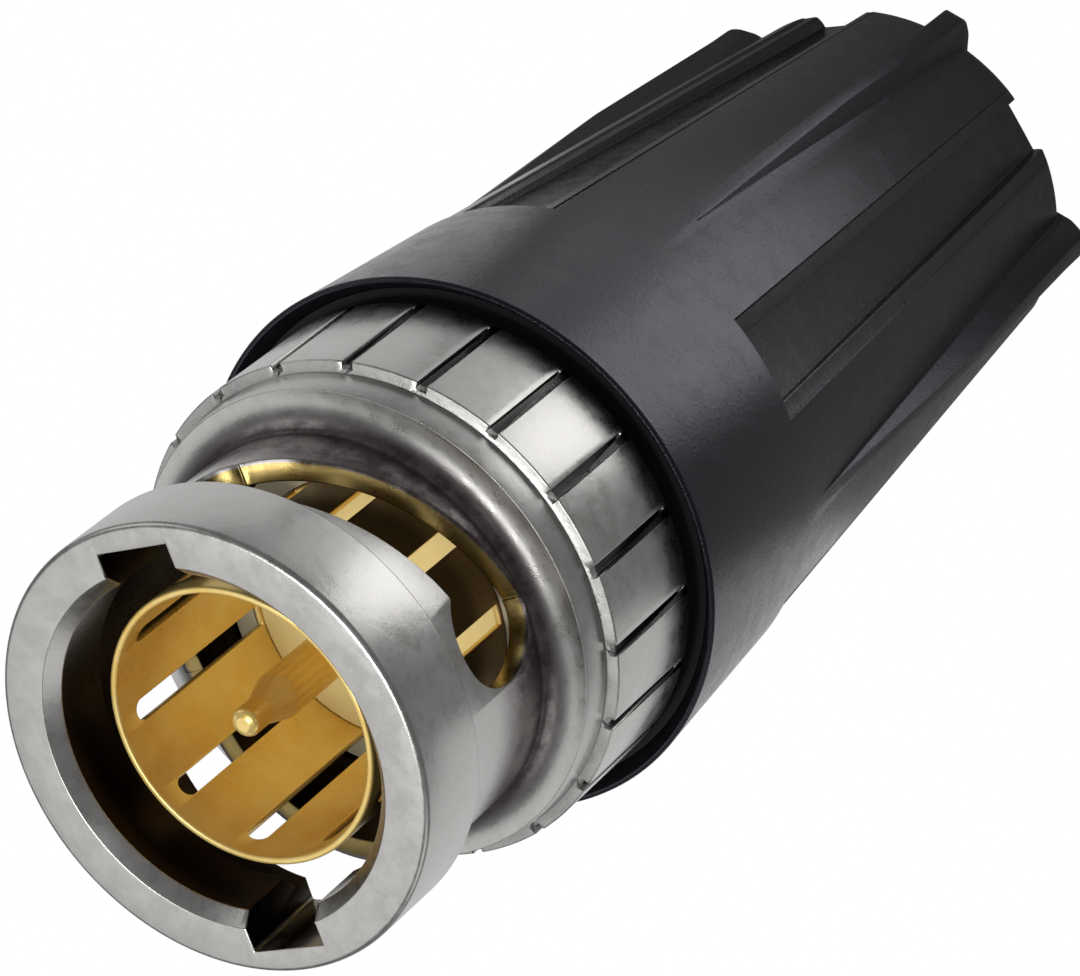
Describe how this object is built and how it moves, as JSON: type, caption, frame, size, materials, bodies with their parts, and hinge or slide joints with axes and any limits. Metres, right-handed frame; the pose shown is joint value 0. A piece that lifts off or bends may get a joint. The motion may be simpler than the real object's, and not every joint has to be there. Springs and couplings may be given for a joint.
{
  "type": "bnc connector",
  "caption": "Cable plug with a bayonet coupling sleeve, slotted earth contact, centre pin, grooved grip ring and a tapered ribbed boot.",
  "frame": {"origin": "centre of the cable end's bounding box at its lowest point, on the plug's axis", "axes": "+Z along the plug's axis from the cable end to the mating face; +X through one of the two bayonet entry notches"},
  "size_m": [0.0162, 0.0162, 0.0404],
  "materials": {
    "nickel": "nickel-plated brass, smooth",
    "gold": "gold-plated, smooth",
    "spring_steel": "plain spring steel",
    "black_plastic": "satin moulded",
    "white_plastic": "moulded",
    "insulator": "waxy fluoropolymer",
    "gasket_rubber": "smooth",
    "black_rubber": "matte"
  },
  "bodies": {
    "coupling": {"bayonet_sleeve": "nickel", "seal_ring": "black_rubber", "lock_ring": "spring_steel", "boot": "black_plastic", "guide_bush": "white_plastic", "cable_grommet": "black_rubber", "rear_thrust_washer": "spring_steel", "wave_spring": "spring_steel"},
    "carrier": {"front_thrust_washer": "spring_steel"},
    "core": {"contact_body": "nickel", "outer_contact": "gold", "face_gasket": "gasket_rubber", "front_insulator": "insulator", "rear_insulator": "insulator", "centre_pin": "gold", "retaining_ring": "spring_steel", "crimp_stem": "nickel", "crimp_ferrule": "nickel"}
  },
  "joints": [
    {"name": "coupling_travel", "type": "slide", "parent": "coupling", "child": "carrier", "axis": [0, 0, -1], "range_m": [0, 0.0008], "stiffness_N_per_m": 800, "springref_m": -0.002, "deforming": ["wave_spring"]},
    {"name": "core_spin", "type": "hinge", "parent": "carrier", "child": "core", "pos_m": [0, 0, 0.03], "axis": [0, 0, 1], "continuous": true}
  ]
}
